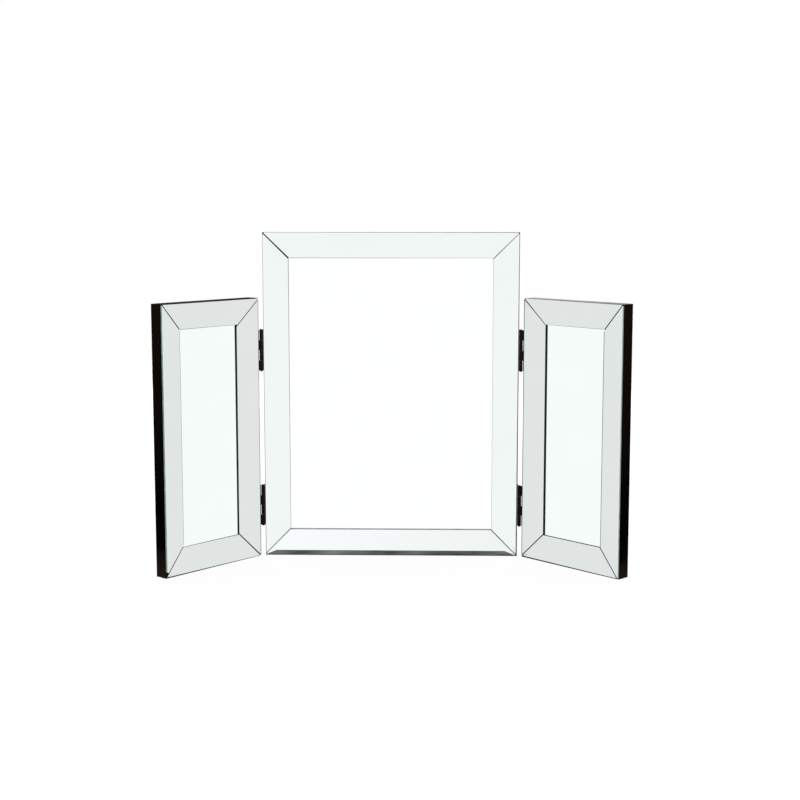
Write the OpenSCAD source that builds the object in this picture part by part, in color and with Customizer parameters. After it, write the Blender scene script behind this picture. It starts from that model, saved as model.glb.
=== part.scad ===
// Three-fold vanity mirror that stands on a table. A tall centre panel carries two lower wings
// on black butt hinges. Each panel is a flat back board with four mitred wedge battens on its
// rim, a plain mirror pane in the middle, and four bevelled mirror strips on the sloping battens.
// X runs along the width, the mirror faces -Y, Z is up, and the table is at Z = 0.

/* [Centre panel] */
// Width of the centre panel
centre_w = 422; // [340:1:700]
// Height of the centre panel
centre_h = 540; // [440:1:900]

/* [Wings] */
// Gap left between the wings when both are closed over the centre
wings_gap = 6; // [2:0.5:80]
// Height of each wing
wing_h = 433; // [320:1:540]
// Left wing, folded forward from flat
left_fold = 51; // [0:0.5:120]
// Right wing, folded forward from flat
right_fold = 46.5; // [0:0.5:120]

/* [Boards] */
// Thickness of the back board of every panel
board_t = 12; // [11:1:25]

/* [Mirror glass] */
// Thickness of the plain panes
pane_t = 3; // [3:0.5:6]
// Thickness of the bevelled strips
strip_t = 3; // [3:0.5:6]
// Width of a strip, measured on its slope
strip_w = 42; // [30:1:60]
// Slope of the strips, down towards the pane
strip_tilt = 9.6; // [0:0.2:15]
// Width of the bevel along each edge of a strip
bevel_w = 8; // [4:0.5:14]
// Thickness left at the edge of a bevel
bevel_edge_t = 2; // [1:0.25:2.5]
// How far the strips lie over the pane's rim
pane_lap = 4; // [2:0.5:8]
// Gap between two strips at a mitre
mitre_gap = 1.2; // [1:0.1:2]
// How far a strip's outer edge stays inside the board's edge
strip_inset = 0.5; // [0.3:0.1:2]

/* [Mounting tape] */
// Thickness of the double-sided tape behind the glass
tape_t = 0.4; // [0.3:0.1:1]
// Width of the tapes behind the panes
pane_tape_w = 25; // [10:1:40]
// Width of the tapes under the strips
strip_tape_w = 16; // [8:1:20]
// Tapes behind the centre pane
centre_tapes = 3; // [2:1:5]
// Tapes behind a wing's pane
wing_tapes = 2; // [1:1:3]

/* [Hinges] */
// Height of a hinge's leaves
hinge_h = 67.2; // [50:0.4:90]
// Distance from a panel's back to the free edge of a leaf
leaf_back = 4.4; // [3:0.2:5.4]
// Thickness of a leaf
leaf_t = 1.5; // [1.2:0.1:2]
// Radius of a leaf's free corners
leaf_corner_r = 2; // [0.5:0.5:4]
// Diameter of a hinge pin
pin_d = 3; // [2.5:0.1:4]
// Height of the domed heads of a pin
pin_head_h = 1.3; // [0.8:0.1:2]
// Distance from a wing's top or bottom to the middle of a hinge
hinge_end = 86.5; // [60:0.5:110]
// How far a hinge's axis lies in front of the glass
axis_ahead = 2.4; // [1:0.1:5]

/* [Hinge screws] */
// Screws in each leaf
screws_per_leaf = 3; // [2:1:4]
// Distance from a leaf's top or bottom to its first screw
screw_margin = 12.6; // [6:0.2:16]
// Distance from a leaf's free edge to its screws
screw_edge = 4.25; // [3.5:0.25:5]
// Diameter of a screw's shank
screw_d = 3; // [2.5:0.1:3.5]
// Diameter of a screw's countersunk head
screw_head_d = 5.6; // [5:0.1:6]
// Length of a screw
screw_len = 16; // [12:1:25]
// Width of the cross recess in a screw's head
recess_w = 0.7; // [0.4:0.1:1]
// Depth of the cross recess
recess_depth = 0.8; // [0.5:0.1:1]

/* [Fits] */
// Running clearance between a pin and its knuckles
pin_fit = 0.05; // [0.02:0.01:0.1]
// Gap between two knuckles, and between a knuckle and a pin's head
knuckle_gap = 0.3; // [0.2:0.05:0.6]
// Gap behind the other leaf's knuckles
notch_gap = 0.5; // [0.4:0.1:1]
// Clearance around a screw
screw_fit = 0.05; // [0.02:0.01:0.1]
// Gap between a pane's edge and the battens
pane_side_gap = 0.5; // [0.3:0.1:1]
// Gap between a pane's front and the strips over its rim
pane_front_gap = 0.1; // [0.05:0.05:0.3]

/* [Hidden] */
$fn = 48;

// Colours, as the object shows them
black_paint = "#17110f";
strip_colour = "#dfe4e2";
pane_colour = "#f2faf8";
tape_colour = "#c9c6bd";
black_steel = "#1a1715";
pin_colour = "#221e1c";

// The four sides of a panel, seen from the front
BOTTOM = 0;
RIGHT = 1;
TOP = 2;
LEFT = 3;

// Each wing is half as wide as the centre, less half of the gap between the closed wings
wing_w = (centre_w - wings_gap) / 2;

// The strip's slope, where the plan distance of a point on it is measured from the panel's edge
strip_inner_plan = (strip_inset + strip_w) * cos(strip_tilt) + tape_t * sin(strip_tilt);
bevel_angle = atan((strip_t - bevel_edge_t) / bevel_w);
mitre_shift = mitre_gap / sqrt(2);

// The pane reaches under the strips, and the battens stop short of it
pane_inset = strip_inner_plan - pane_lap;
batten_w = pane_inset - pane_side_gap;

// The battens are as high as the slope needs for the strips to end just over the pane
pane_front = tape_t + pane_t;
batten_outer_h = pane_front + pane_front_gap
    + (strip_inset + strip_w) * sin(strip_tilt) - tape_t * cos(strip_tilt);
batten_inner_h = batten_outer_h - batten_w * tan(strip_tilt);

// Greatest thickness of a panel, at the strips' outer edge or where their bevel ends
edge_rise = (tape_t + bevel_edge_t) * cos(strip_tilt) - strip_inset * sin(strip_tilt);
face_rise = (tape_t + strip_t) * cos(strip_tilt) - (strip_inset + bevel_w) * sin(strip_tilt);
panel_t = board_t + batten_outer_h + max(edge_rise, face_rise);

// Hinge axis, in a panel's own frame and in the whole mirror
pin_r = pin_d / 2;
knuckle_r = pin_r + pin_fit + leaf_t;
axis_depth = panel_t + axis_ahead;
axis_x = centre_w / 2 + knuckle_r;
axis_y = board_t / 2 - axis_depth;
knuckles = 4;
knuckle_pitch = hinge_h / knuckles;
pin_head_inset = 0.2;
pin_head_r = knuckle_r - pin_head_inset;
upper_hinge_z = wing_h - hinge_end;
lower_hinge_z = hinge_end;
leaf_w = axis_depth - leaf_back;

// Screws go through the leaves into the back board
screw_offset = leaf_w - screw_edge;
screw_pitch = (hinge_h - 2 * screw_margin) / (screws_per_leaf - 1);
screw_r = screw_d / 2;
screw_head_r = screw_head_d / 2;
screw_tip_r = screw_r / 4;
screw_tip_h = screw_d;

// How far a cutting shape runs past what it cuts
over = 1;

// Frames of the three panels: the back face lies at Y = 0 and the front towards -Y
module at_centre() {
    translate([0, board_t / 2, 0])
        children();
}

module at_left_wing() {
    translate([-axis_x, axis_y, 0])
        rotate([0, 0, left_fold])
            translate([-(wing_w / 2 + knuckle_r), axis_depth, 0])
                children();
}

module at_right_wing() {
    translate([axis_x, axis_y, 0])
        rotate([0, 0, -right_fold])
            translate([wing_w / 2 + knuckle_r, axis_depth, 0])
                children();
}

// Frame of one side of a panel: X along the side, Y inwards, Z towards the viewer
module on_side(side, w, h) {
    corners = [[-w / 2, 0], [w / 2, 0], [w / 2, h], [-w / 2, h]];
    rotate([90, 0, 0])
        translate(corners[side])
            rotate([0, 0, 90 * side])
                children();
}

function side_length(side, w, h) = (side == BOTTOM || side == TOP) ? w : h;

// Frame of the tilted glass on one side, which starts at the battens' outer top edge
module on_slope(side, w, h) {
    on_side(side, w, h)
        translate([0, 0, board_t + batten_outer_h])
            rotate([-strip_tilt, 0, 0])
                children();
}

// Frames of the hinges on a panel's left and right edges, with the pin's axis along Z
module on_left_edge(w, z) {
    translate([-(w / 2 + knuckle_r), -axis_depth, z])
        children();
}

module on_right_edge(w, z) {
    translate([w / 2 + knuckle_r, -axis_depth, z])
        mirror([1, 0, 0])
            children();
}

function screw_z(i) = (i - (screws_per_leaf - 1) / 2) * screw_pitch;

// Pilot holes of one leaf, bored from the board's edge
module pilot_holes() {
    for (i = [0 : screws_per_leaf - 1])
        translate([knuckle_r - leaf_t, screw_offset, screw_z(i)])
            rotate([0, 90, 0])
                cylinder(r = screw_r + screw_fit, h = screw_len + screw_fit);
}

// Back board, drilled along the edges that carry hinges
module board(w, h, left_hinges, right_hinges) {
    difference() {
        translate([-w / 2, -board_t, 0])
            cube([w, board_t, h]);
        for (z = [lower_hinge_z, upper_hinge_z]) {
            if (left_hinges)
                on_left_edge(w, z)
                    pilot_holes();
            if (right_hinges)
                on_right_edge(w, z)
                    pilot_holes();
        }
    }
}

// Wedge batten with mitred ends, glued on the board's rim
module batten(side, w, h) {
    long = side_length(side, w, h);
    outline = [[0, 0], [long, 0], [long - batten_w, batten_w], [batten_w, batten_w]];
    section = [[0, 0], [batten_w, 0], [batten_w, batten_inner_h], [0, batten_outer_h]];
    on_side(side, w, h)
        translate([0, 0, board_t])
            intersection() {
                linear_extrude(batten_outer_h)
                    polygon(outline);
                rotate([90, 0, 90])
                    linear_extrude(long)
                        polygon(section);
            }
}

// Flat plate with the same bevel along every edge; the points run anticlockwise
module bevelled_plate(points) {
    difference() {
        linear_extrude(strip_t)
            polygon(points);
        for (i = [0 : len(points) - 1]) {
            start = points[i];
            along = points[(i + 1) % len(points)] - start;
            translate([start[0], start[1], bevel_edge_t])
                rotate([0, 0, atan2(along[1], along[0])])
                    rotate([bevel_angle, 0, 0])
                        translate([-bevel_w, -over, 0])
                            cube([norm(along) + 2 * bevel_w, 2 * bevel_w, strip_t]);
        }
    }
}

// Mitred mirror strip, bevelled on all four edges
module strip(side, w, h) {
    long = side_length(side, w, h);
    outer = strip_inset;
    inner = strip_inset + strip_w;
    outer_end = outer * cos(strip_tilt) + tape_t * sin(strip_tilt) + mitre_shift;
    inner_end = strip_inner_plan + mitre_shift;
    on_slope(side, w, h)
        translate([0, 0, tape_t])
            bevelled_plate([
                [outer_end, outer],
                [long - outer_end, outer],
                [long - inner_end, inner],
                [inner_end, inner]
            ]);
}

// Tapes that hold the four strips on their battens
module strip_tapes(w, h) {
    tape_start = (batten_w - strip_tape_w) / 2;
    tape_end = batten_w + mitre_shift;
    for (side = [BOTTOM, RIGHT, TOP, LEFT])
        on_slope(side, w, h)
            translate([tape_end, tape_start, 0])
                cube([side_length(side, w, h) - 2 * tape_end, strip_tape_w, tape_t]);
}

// Plain mirror pane in the recess
module pane(w, h) {
    translate([-w / 2 + pane_inset, -(board_t + pane_front), pane_inset])
        cube([w - 2 * pane_inset, pane_t, h - 2 * pane_inset]);
}

// Upright tapes behind a pane, each in the middle of an equal share of its width
module pane_tapes(w, h, count) {
    pane_w = w - 2 * pane_inset;
    low = pane_inset + pane_tape_w;
    for (i = [0 : count - 1])
        translate([
            pane_w * ((i + 0.5) / count - 0.5) - pane_tape_w / 2,
            -(board_t + tape_t),
            low
        ])
            cube([pane_tape_w, tape_t, h - 2 * low]);
}

// Outline of a leaf, with its two free corners rounded
module leaf_outline() {
    flat = leaf_w - leaf_corner_r;
    square([flat, hinge_h]);
    translate([0, leaf_corner_r])
        square([leaf_w, hinge_h - 2 * leaf_corner_r]);
    for (z = [leaf_corner_r, hinge_h - leaf_corner_r])
        translate([flat, z])
            circle(r = leaf_corner_r);
}

// Hinge leaf on the +X side of its pin: first_knuckle is 0 where the top knuckle is its own
module leaf(first_knuckle) {
    difference() {
        union() {
            translate([knuckle_r - leaf_t, 0, -hinge_h / 2])
                rotate([90, 0, 90])
                    linear_extrude(leaf_t)
                        leaf_outline();
            translate([0, 0, -hinge_h / 2])
                cylinder(r = knuckle_r, h = hinge_h);
        }
        translate([0, 0, -hinge_h / 2 - over])
            cylinder(r = pin_r + pin_fit, h = hinge_h + 2 * over);
        for (i = [1 - first_knuckle : 2 : knuckles - 1])
            translate([
                -knuckle_r - over,
                -knuckle_r - over,
                hinge_h / 2 - (i + 1) * knuckle_pitch - knuckle_gap / 2
            ])
                cube([
                    2 * (knuckle_r + over),
                    2 * knuckle_r + over + notch_gap,
                    knuckle_pitch + knuckle_gap
                ]);
        for (i = [0 : screws_per_leaf - 1])
            translate([knuckle_r - leaf_t, screw_offset, screw_z(i)])
                rotate([0, 90, 0]) {
                    cylinder(r = screw_r + screw_fit, h = leaf_t + over);
                    cylinder(
                        r1 = screw_head_r + screw_fit,
                        r2 = screw_r + screw_fit,
                        h = screw_head_r - screw_r
                    );
                }
    }
}

// Domed head of a pin, which stands on Z = 0
module pin_head() {
    dome_r = (pin_head_r * pin_head_r + pin_head_h * pin_head_h) / (2 * pin_head_h);
    intersection() {
        translate([0, 0, pin_head_h - dome_r])
            sphere(r = dome_r);
        cylinder(r = pin_head_r, h = pin_head_h);
    }
}

// Hinge pin with a domed head at each end
module pin() {
    shank_h = hinge_h / 2 + knuckle_gap;
    translate([0, 0, -shank_h])
        cylinder(r = pin_r, h = 2 * shank_h);
    translate([0, 0, shank_h])
        pin_head();
    translate([0, 0, -shank_h])
        mirror([0, 0, 1])
            pin_head();
}

// Countersunk wood screw along +Z, with its head's face at Z = 0
module screw() {
    difference() {
        union() {
            cylinder(r1 = screw_head_r, r2 = screw_r, h = screw_head_r - screw_r);
            cylinder(r = screw_r, h = screw_len - screw_tip_h);
            translate([0, 0, screw_len - screw_tip_h])
                cylinder(r1 = screw_r, r2 = screw_tip_r, h = screw_tip_h);
        }
        for (turn = [0, 90])
            rotate([0, 0, turn])
                translate([-screw_r, -recess_w / 2, -over])
                    cube([screw_d, recess_w, recess_depth + over]);
    }
}

// The screws of one leaf
module leaf_screws() {
    for (i = [0 : screws_per_leaf - 1])
        translate([knuckle_r - leaf_t, screw_offset, screw_z(i)])
            rotate([0, 90, 0])
                screw();
}

// Centre panel
module centre_board() {
    color(black_paint)
        at_centre()
            board(centre_w, centre_h, true, true);
}

module centre_batten(side) {
    color(black_paint)
        at_centre()
            batten(side, centre_w, centre_h);
}

module centre_strip(side) {
    color(strip_colour)
        at_centre()
            strip(side, centre_w, centre_h);
}

module centre_pane() {
    color(pane_colour)
        at_centre()
            pane(centre_w, centre_h);
}

module centre_pane_tapes() {
    color(tape_colour)
        at_centre()
            pane_tapes(centre_w, centre_h, centre_tapes);
}

module centre_strip_tapes() {
    color(tape_colour)
        at_centre()
            strip_tapes(centre_w, centre_h);
}

// Left wing
module left_wing_board() {
    color(black_paint)
        at_left_wing()
            board(wing_w, wing_h, false, true);
}

module left_wing_batten(side) {
    color(black_paint)
        at_left_wing()
            batten(side, wing_w, wing_h);
}

module left_wing_strip(side) {
    color(strip_colour)
        at_left_wing()
            strip(side, wing_w, wing_h);
}

module left_wing_pane() {
    color(pane_colour)
        at_left_wing()
            pane(wing_w, wing_h);
}

module left_wing_pane_tapes() {
    color(tape_colour)
        at_left_wing()
            pane_tapes(wing_w, wing_h, wing_tapes);
}

module left_wing_strip_tapes() {
    color(tape_colour)
        at_left_wing()
            strip_tapes(wing_w, wing_h);
}

// Right wing
module right_wing_board() {
    color(black_paint)
        at_right_wing()
            board(wing_w, wing_h, true, false);
}

module right_wing_batten(side) {
    color(black_paint)
        at_right_wing()
            batten(side, wing_w, wing_h);
}

module right_wing_strip(side) {
    color(strip_colour)
        at_right_wing()
            strip(side, wing_w, wing_h);
}

module right_wing_pane() {
    color(pane_colour)
        at_right_wing()
            pane(wing_w, wing_h);
}

module right_wing_pane_tapes() {
    color(tape_colour)
        at_right_wing()
            pane_tapes(wing_w, wing_h, wing_tapes);
}

module right_wing_strip_tapes() {
    color(tape_colour)
        at_right_wing()
            strip_tapes(wing_w, wing_h);
}

// Hinges: the same hinge is used four times, with its top knuckle on the leaf to the right
module left_hinge_centre_leaf(z) {
    color(black_steel)
        at_centre()
            on_left_edge(centre_w, z)
                leaf(0);
}

module left_hinge_wing_leaf(z) {
    color(black_steel)
        at_left_wing()
            on_right_edge(wing_w, z)
                leaf(1);
}

module left_hinge_pin(z) {
    color(pin_colour)
        at_centre()
            on_left_edge(centre_w, z)
                pin();
}

module right_hinge_centre_leaf(z) {
    color(black_steel)
        at_centre()
            on_right_edge(centre_w, z)
                leaf(1);
}

module right_hinge_wing_leaf(z) {
    color(black_steel)
        at_right_wing()
            on_left_edge(wing_w, z)
                leaf(0);
}

module right_hinge_pin(z) {
    color(pin_colour)
        at_centre()
            on_right_edge(centre_w, z)
                pin();
}

// Hinge screws, one group for each panel
module centre_hinge_screws() {
    color(black_steel)
        at_centre()
            for (z = [lower_hinge_z, upper_hinge_z]) {
                on_left_edge(centre_w, z)
                    leaf_screws();
                on_right_edge(centre_w, z)
                    leaf_screws();
            }
}

module left_wing_hinge_screws() {
    color(black_steel)
        at_left_wing()
            for (z = [lower_hinge_z, upper_hinge_z])
                on_right_edge(wing_w, z)
                    leaf_screws();
}

module right_wing_hinge_screws() {
    color(black_steel)
        at_right_wing()
            for (z = [lower_hinge_z, upper_hinge_z])
                on_left_edge(wing_w, z)
                    leaf_screws();
}

centre_board();
centre_batten(TOP);  // centre_top_batten
centre_batten(BOTTOM);  // centre_bottom_batten
centre_batten(LEFT);  // centre_left_batten
centre_batten(RIGHT);  // centre_right_batten
centre_pane();
centre_strip(TOP);  // centre_top_strip
centre_strip(BOTTOM);  // centre_bottom_strip
centre_strip(LEFT);  // centre_left_strip
centre_strip(RIGHT);  // centre_right_strip
centre_pane_tapes();
centre_strip_tapes();
left_wing_board();
left_wing_batten(TOP);  // left_wing_top_batten
left_wing_batten(BOTTOM);  // left_wing_bottom_batten
left_wing_batten(RIGHT);  // left_wing_hinge_side_batten
left_wing_batten(LEFT);  // left_wing_free_side_batten
left_wing_pane();
left_wing_strip(TOP);  // left_wing_top_strip
left_wing_strip(BOTTOM);  // left_wing_bottom_strip
left_wing_strip(RIGHT);  // left_wing_hinge_side_strip
left_wing_strip(LEFT);  // left_wing_free_side_strip
left_wing_pane_tapes();
left_wing_strip_tapes();
right_wing_board();
right_wing_batten(TOP);  // right_wing_top_batten
right_wing_batten(BOTTOM);  // right_wing_bottom_batten
right_wing_batten(LEFT);  // right_wing_hinge_side_batten
right_wing_batten(RIGHT);  // right_wing_free_side_batten
right_wing_pane();
right_wing_strip(TOP);  // right_wing_top_strip
right_wing_strip(BOTTOM);  // right_wing_bottom_strip
right_wing_strip(LEFT);  // right_wing_hinge_side_strip
right_wing_strip(RIGHT);  // right_wing_free_side_strip
right_wing_pane_tapes();
right_wing_strip_tapes();
left_hinge_centre_leaf(upper_hinge_z);  // left_upper_hinge_centre_leaf
left_hinge_wing_leaf(upper_hinge_z);  // left_upper_hinge_wing_leaf
left_hinge_pin(upper_hinge_z);  // left_upper_hinge_pin
left_hinge_centre_leaf(lower_hinge_z);  // left_lower_hinge_centre_leaf
left_hinge_wing_leaf(lower_hinge_z);  // left_lower_hinge_wing_leaf
left_hinge_pin(lower_hinge_z);  // left_lower_hinge_pin
right_hinge_centre_leaf(upper_hinge_z);  // right_upper_hinge_centre_leaf
right_hinge_wing_leaf(upper_hinge_z);  // right_upper_hinge_wing_leaf
right_hinge_pin(upper_hinge_z);  // right_upper_hinge_pin
right_hinge_centre_leaf(lower_hinge_z);  // right_lower_hinge_centre_leaf
right_hinge_wing_leaf(lower_hinge_z);  // right_lower_hinge_wing_leaf
right_hinge_pin(lower_hinge_z);  // right_lower_hinge_pin
centre_hinge_screws();
left_wing_hinge_screws();
right_wing_hinge_screws();
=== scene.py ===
import math

import bmesh
import bpy
from mathutils import Matrix, Vector


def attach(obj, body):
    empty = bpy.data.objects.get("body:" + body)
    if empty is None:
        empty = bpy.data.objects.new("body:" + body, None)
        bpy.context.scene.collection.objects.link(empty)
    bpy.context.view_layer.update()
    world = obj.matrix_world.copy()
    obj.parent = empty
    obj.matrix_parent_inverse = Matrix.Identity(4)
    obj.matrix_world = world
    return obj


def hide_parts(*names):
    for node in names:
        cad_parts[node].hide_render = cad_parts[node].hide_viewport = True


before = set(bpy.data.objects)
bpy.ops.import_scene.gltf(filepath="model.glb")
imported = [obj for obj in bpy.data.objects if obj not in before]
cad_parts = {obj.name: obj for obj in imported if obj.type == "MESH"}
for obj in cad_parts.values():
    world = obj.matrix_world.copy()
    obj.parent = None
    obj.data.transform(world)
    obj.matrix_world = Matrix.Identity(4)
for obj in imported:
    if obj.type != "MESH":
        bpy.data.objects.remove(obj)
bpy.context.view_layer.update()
scene = bpy.context.scene

# Camera. It stands about 2.4 m in front of the mirror, a little above the centre panel's top
# edge, looks down by 7.6 degrees and is turned slightly to the left.
CAMERA_PLACE = (0.0725, -2.4623, 0.5880)
CAMERA_PITCH_DOWN = 7.554
CAMERA_TURN_LEFT = 1.347
CAMERA_ROLL = 0.016
FOCAL_PIXELS = 1488.5
FRAME_PIXELS = 800

camera_data = bpy.data.cameras.new("camera")
camera_data.sensor_width = 36
camera_data.lens = camera_data.sensor_width * FOCAL_PIXELS / FRAME_PIXELS
camera = bpy.data.objects.new("camera", camera_data)
camera.location = CAMERA_PLACE
camera.rotation_euler = [
    math.radians(angle) for angle in (90 - CAMERA_PITCH_DOWN, CAMERA_ROLL, CAMERA_TURN_LEFT)
]
scene.collection.objects.link(camera)
scene.camera = camera

# Studio. An even white room, as product photographs of mirrors have: whatever the glass faces
# is white, so it reads as clean white glass. The table is opal acrylic lit from below, which
# leaves only a breath of shadow under the mirror, and none of it in the glass.
TABLE_SIZE = 24.0
TABLE_PAINT = 0.10
TABLE_GLOW = 0.905


def srgb(code):
    """Linear colour of an sRGB hex code such as #a0b0c0."""
    parts = [int(code[i : i + 2], 16) / 255 for i in (1, 3, 5)]
    return (
        *(p / 12.92 if p <= 0.04045 else ((p + 0.055) / 1.055) ** 2.4 for p in parts),
        1.0,
    )


def add_node(tree, kind, links=(), values=(), stops=(), **settings):
    """Adds a node to a tree.

    links are (input, node, output), values are (input, value), and the stops of a colour ramp
    are (place, sRGB colour).
    """
    node = tree.nodes.new(kind)
    for name, value in settings.items():
        setattr(node, name, value)
    for socket, value in values:
        node.inputs[socket].default_value = value
    for socket, source, output in links:
        tree.links.new(source.outputs[output], node.inputs[socket])
    for index, (place, colour) in enumerate(stops):
        elements = node.color_ramp.elements
        stop = elements[index] if index < 2 else elements.new(place)
        stop.position = place
        stop.color = srgb(colour)
    return node


def new_material(name):
    """An empty node material: the material and its tree."""
    material = bpy.data.materials.new(name)
    material.use_nodes = True
    material.node_tree.nodes.clear()
    return material, material.node_tree


def new_piece(name, mesh, *materials):
    """A mesh object at the origin with these materials."""
    piece = bpy.data.objects.new(name, mesh)
    scene.collection.objects.link(piece)
    for material in materials:
        mesh.materials.append(material)
    return piece


room = bpy.data.worlds.new("white_room")
scene.world = room
room.use_nodes = True
room.node_tree.nodes["Background"].inputs["Color"].default_value = (1, 1, 1, 1)
room.node_tree.nodes["Background"].inputs["Strength"].default_value = 1.0
scene.view_settings.view_transform = "Standard"

opal_acrylic, tree = new_material("opal_acrylic")
surface = add_node(
    tree,
    "ShaderNodeBsdfPrincipled",
    values=[
        ("Base Color", (TABLE_PAINT, TABLE_PAINT, TABLE_PAINT, 1)),
        ("Roughness", 0.9),
        ("Specular IOR Level", 0.0),
        ("Emission Color", (1, 1, 1, 1)),
        ("Emission Strength", TABLE_GLOW),
    ],
)
add_node(tree, "ShaderNodeOutputMaterial", links=[("Surface", surface, "BSDF")])

table_mesh = bpy.data.meshes.new("table")
half = TABLE_SIZE / 2
table_mesh.from_pydata(
    [(-half, -half, 0), (half, -half, 0), (half, half, 0), (-half, half, 0)], [], [(0, 1, 2, 3)]
)
table = new_piece("table", table_mesh, opal_acrylic)
table.visible_glossy = False

# Softboxes. Two stand low behind the mirror, to the left and the right. They only put a soft
# sheen on the black back, and the camera doesn't see them.
SOFTBOX_PLACES = [(-1.4, 2.0, 0.55), (1.4, 2.0, 0.55)]
SOFTBOX_AIM = (0.0, 0.0, 0.25)
SOFTBOX_SIZE = (1.0, 0.9)
SOFTBOX_POWER = 65.0

for place in SOFTBOX_PLACES:
    light = bpy.data.lights.new("softbox", "AREA")
    light.shape = "RECTANGLE"
    light.size, light.size_y = SOFTBOX_SIZE
    light.energy = SOFTBOX_POWER
    softbox = bpy.data.objects.new("softbox", light)
    softbox.location = place
    throw = Vector(SOFTBOX_AIM) - Vector(place)
    softbox.rotation_euler = throw.to_track_quat("-Z", "Y").to_euler()
    softbox.visible_camera = False
    scene.collection.objects.link(softbox)

# Black flag. A long black cloth hangs high behind the camera. Only the bevel along the centre
# panel's bottom edge throws it back to the camera, as the dark band in the photograph. The
# weave is too fine to show there, but the soft folds make the band a little uneven. The cloth
# is drawn as a dim grey glow that only reflections see, with the folds' shade painted into it.
FLAG_DISTANCE = 8.0
FLAG_HALF_WIDTH = 2.2
FLAG_LOW, FLAG_HIGH = 1.76, 2.42
FLAG_FOLD = 1 / 2.4  # the width of a fold
FLAG_FOLD_RATIO = 8.0  # a fold's width to its height
NOISE_LOW, NOISE_HIGH = 0.35, 0.65  # nearly all of a noise pattern lies between these

flag_mesh = bpy.data.meshes.new("black_flag")
flag_mesh.from_pydata(
    [
        (side * FLAG_HALF_WIDTH, -FLAG_DISTANCE, height)
        for side, height in ((-1, FLAG_HIGH), (1, FLAG_HIGH), (1, FLAG_LOW), (-1, FLAG_LOW))
    ],
    [],
    [(0, 1, 2, 3)],
)
flag_painted_glow, tree = new_material("flag_painted_glow")
place = add_node(tree, "ShaderNodeTexCoord")
stretch = add_node(
    tree,
    "ShaderNodeMapping",
    links=[("Vector", place, "Object")],
    values=[("Scale", (1.0, 1.0, FLAG_FOLD_RATIO))],
)
folds = add_node(
    tree,
    "ShaderNodeTexNoise",
    links=[("Vector", stretch, "Vector")],
    values=[("Scale", 1 / FLAG_FOLD), ("Detail", 3.0)],
)
tone = add_node(
    tree,
    "ShaderNodeValToRGB",
    links=[("Fac", folds, "Fac")],
    stops=[(NOISE_LOW, "#46464a"), (NOISE_HIGH, "#86847e")],
)
glow = add_node(tree, "ShaderNodeEmission", links=[("Color", tone, "Color")])
add_node(tree, "ShaderNodeOutputMaterial", links=[("Surface", glow, "Emission")])
flag = new_piece("black_flag", flag_mesh, flag_painted_glow)
flag.visible_camera = False
flag.visible_diffuse = False
flag.visible_shadow = False
flag.visible_transmission = False

# Back boards and battens. 12 mm MDF boards with wedge battens glued along their rims, sprayed
# black together. The faces are satin; the cut edges drank the coat and dried matt. It has worn
# thin and brownish along the arrises. Its tones are lighter and browner at the foot, where the
# boards stand on the table, and on the cut edges darkest a little above it and lighter towards
# the top.
BOARD_T = 0.012
SAME_POINT = 1e-6  # points closer than this are one
FLAT = math.radians(0.5)  # faces that turn by less than this are one
SHARP_ANGLE = math.radians(30)  # edges that turn by more than this look sharp
BOARD_ARRIS = 0.0007
ARRIS_ANGLE = math.radians(60)  # edges where the faces turn by more than this are rounded
AT_FRONT = 1e-5  # corners this near the front lie on it; its edges under the battens stay sharp
FACES_UP = 0.7  # the least height of the normal of a board's top
FACES_SIDEWAYS = 0.5  # the most that a cut edge's normal leans to the front or the back
RUBBED, CUT_EDGE, BOARD_TOP = 1, 2, 3  # a board's material slots, after its satin faces
LACQUER_PEEL = 0.0014  # the orange peel of a sprayed coat
LACQUER_PEEL_DEPTH = 0.0002
LACQUER_CLOUDS = 0.11  # patches where the coat is a little thinner
CLOUDS_LOW, CLOUDS_HIGH = 0.3, 0.7  # where the patches' shift of tone begins and ends
CLOUDS_SHEEN = 0.08  # how much smoother or rougher than the rest the patches are
LEFT_FOLD = math.radians(51)
RIGHT_FOLD = math.radians(46.5)
PANELS = {
    "centre": {"body": "centre_panel", "turn": 0.0, "sides": ("bottom", "right", "top", "left")},
    "left_wing": {
        "body": "left_wing",
        "turn": LEFT_FOLD,
        "sides": ("bottom", "hinge_side", "top", "free_side"),
    },
    "right_wing": {
        "body": "right_wing",
        "turn": -RIGHT_FOLD,
        "sides": ("bottom", "free_side", "top", "hinge_side"),
    },
}


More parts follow.
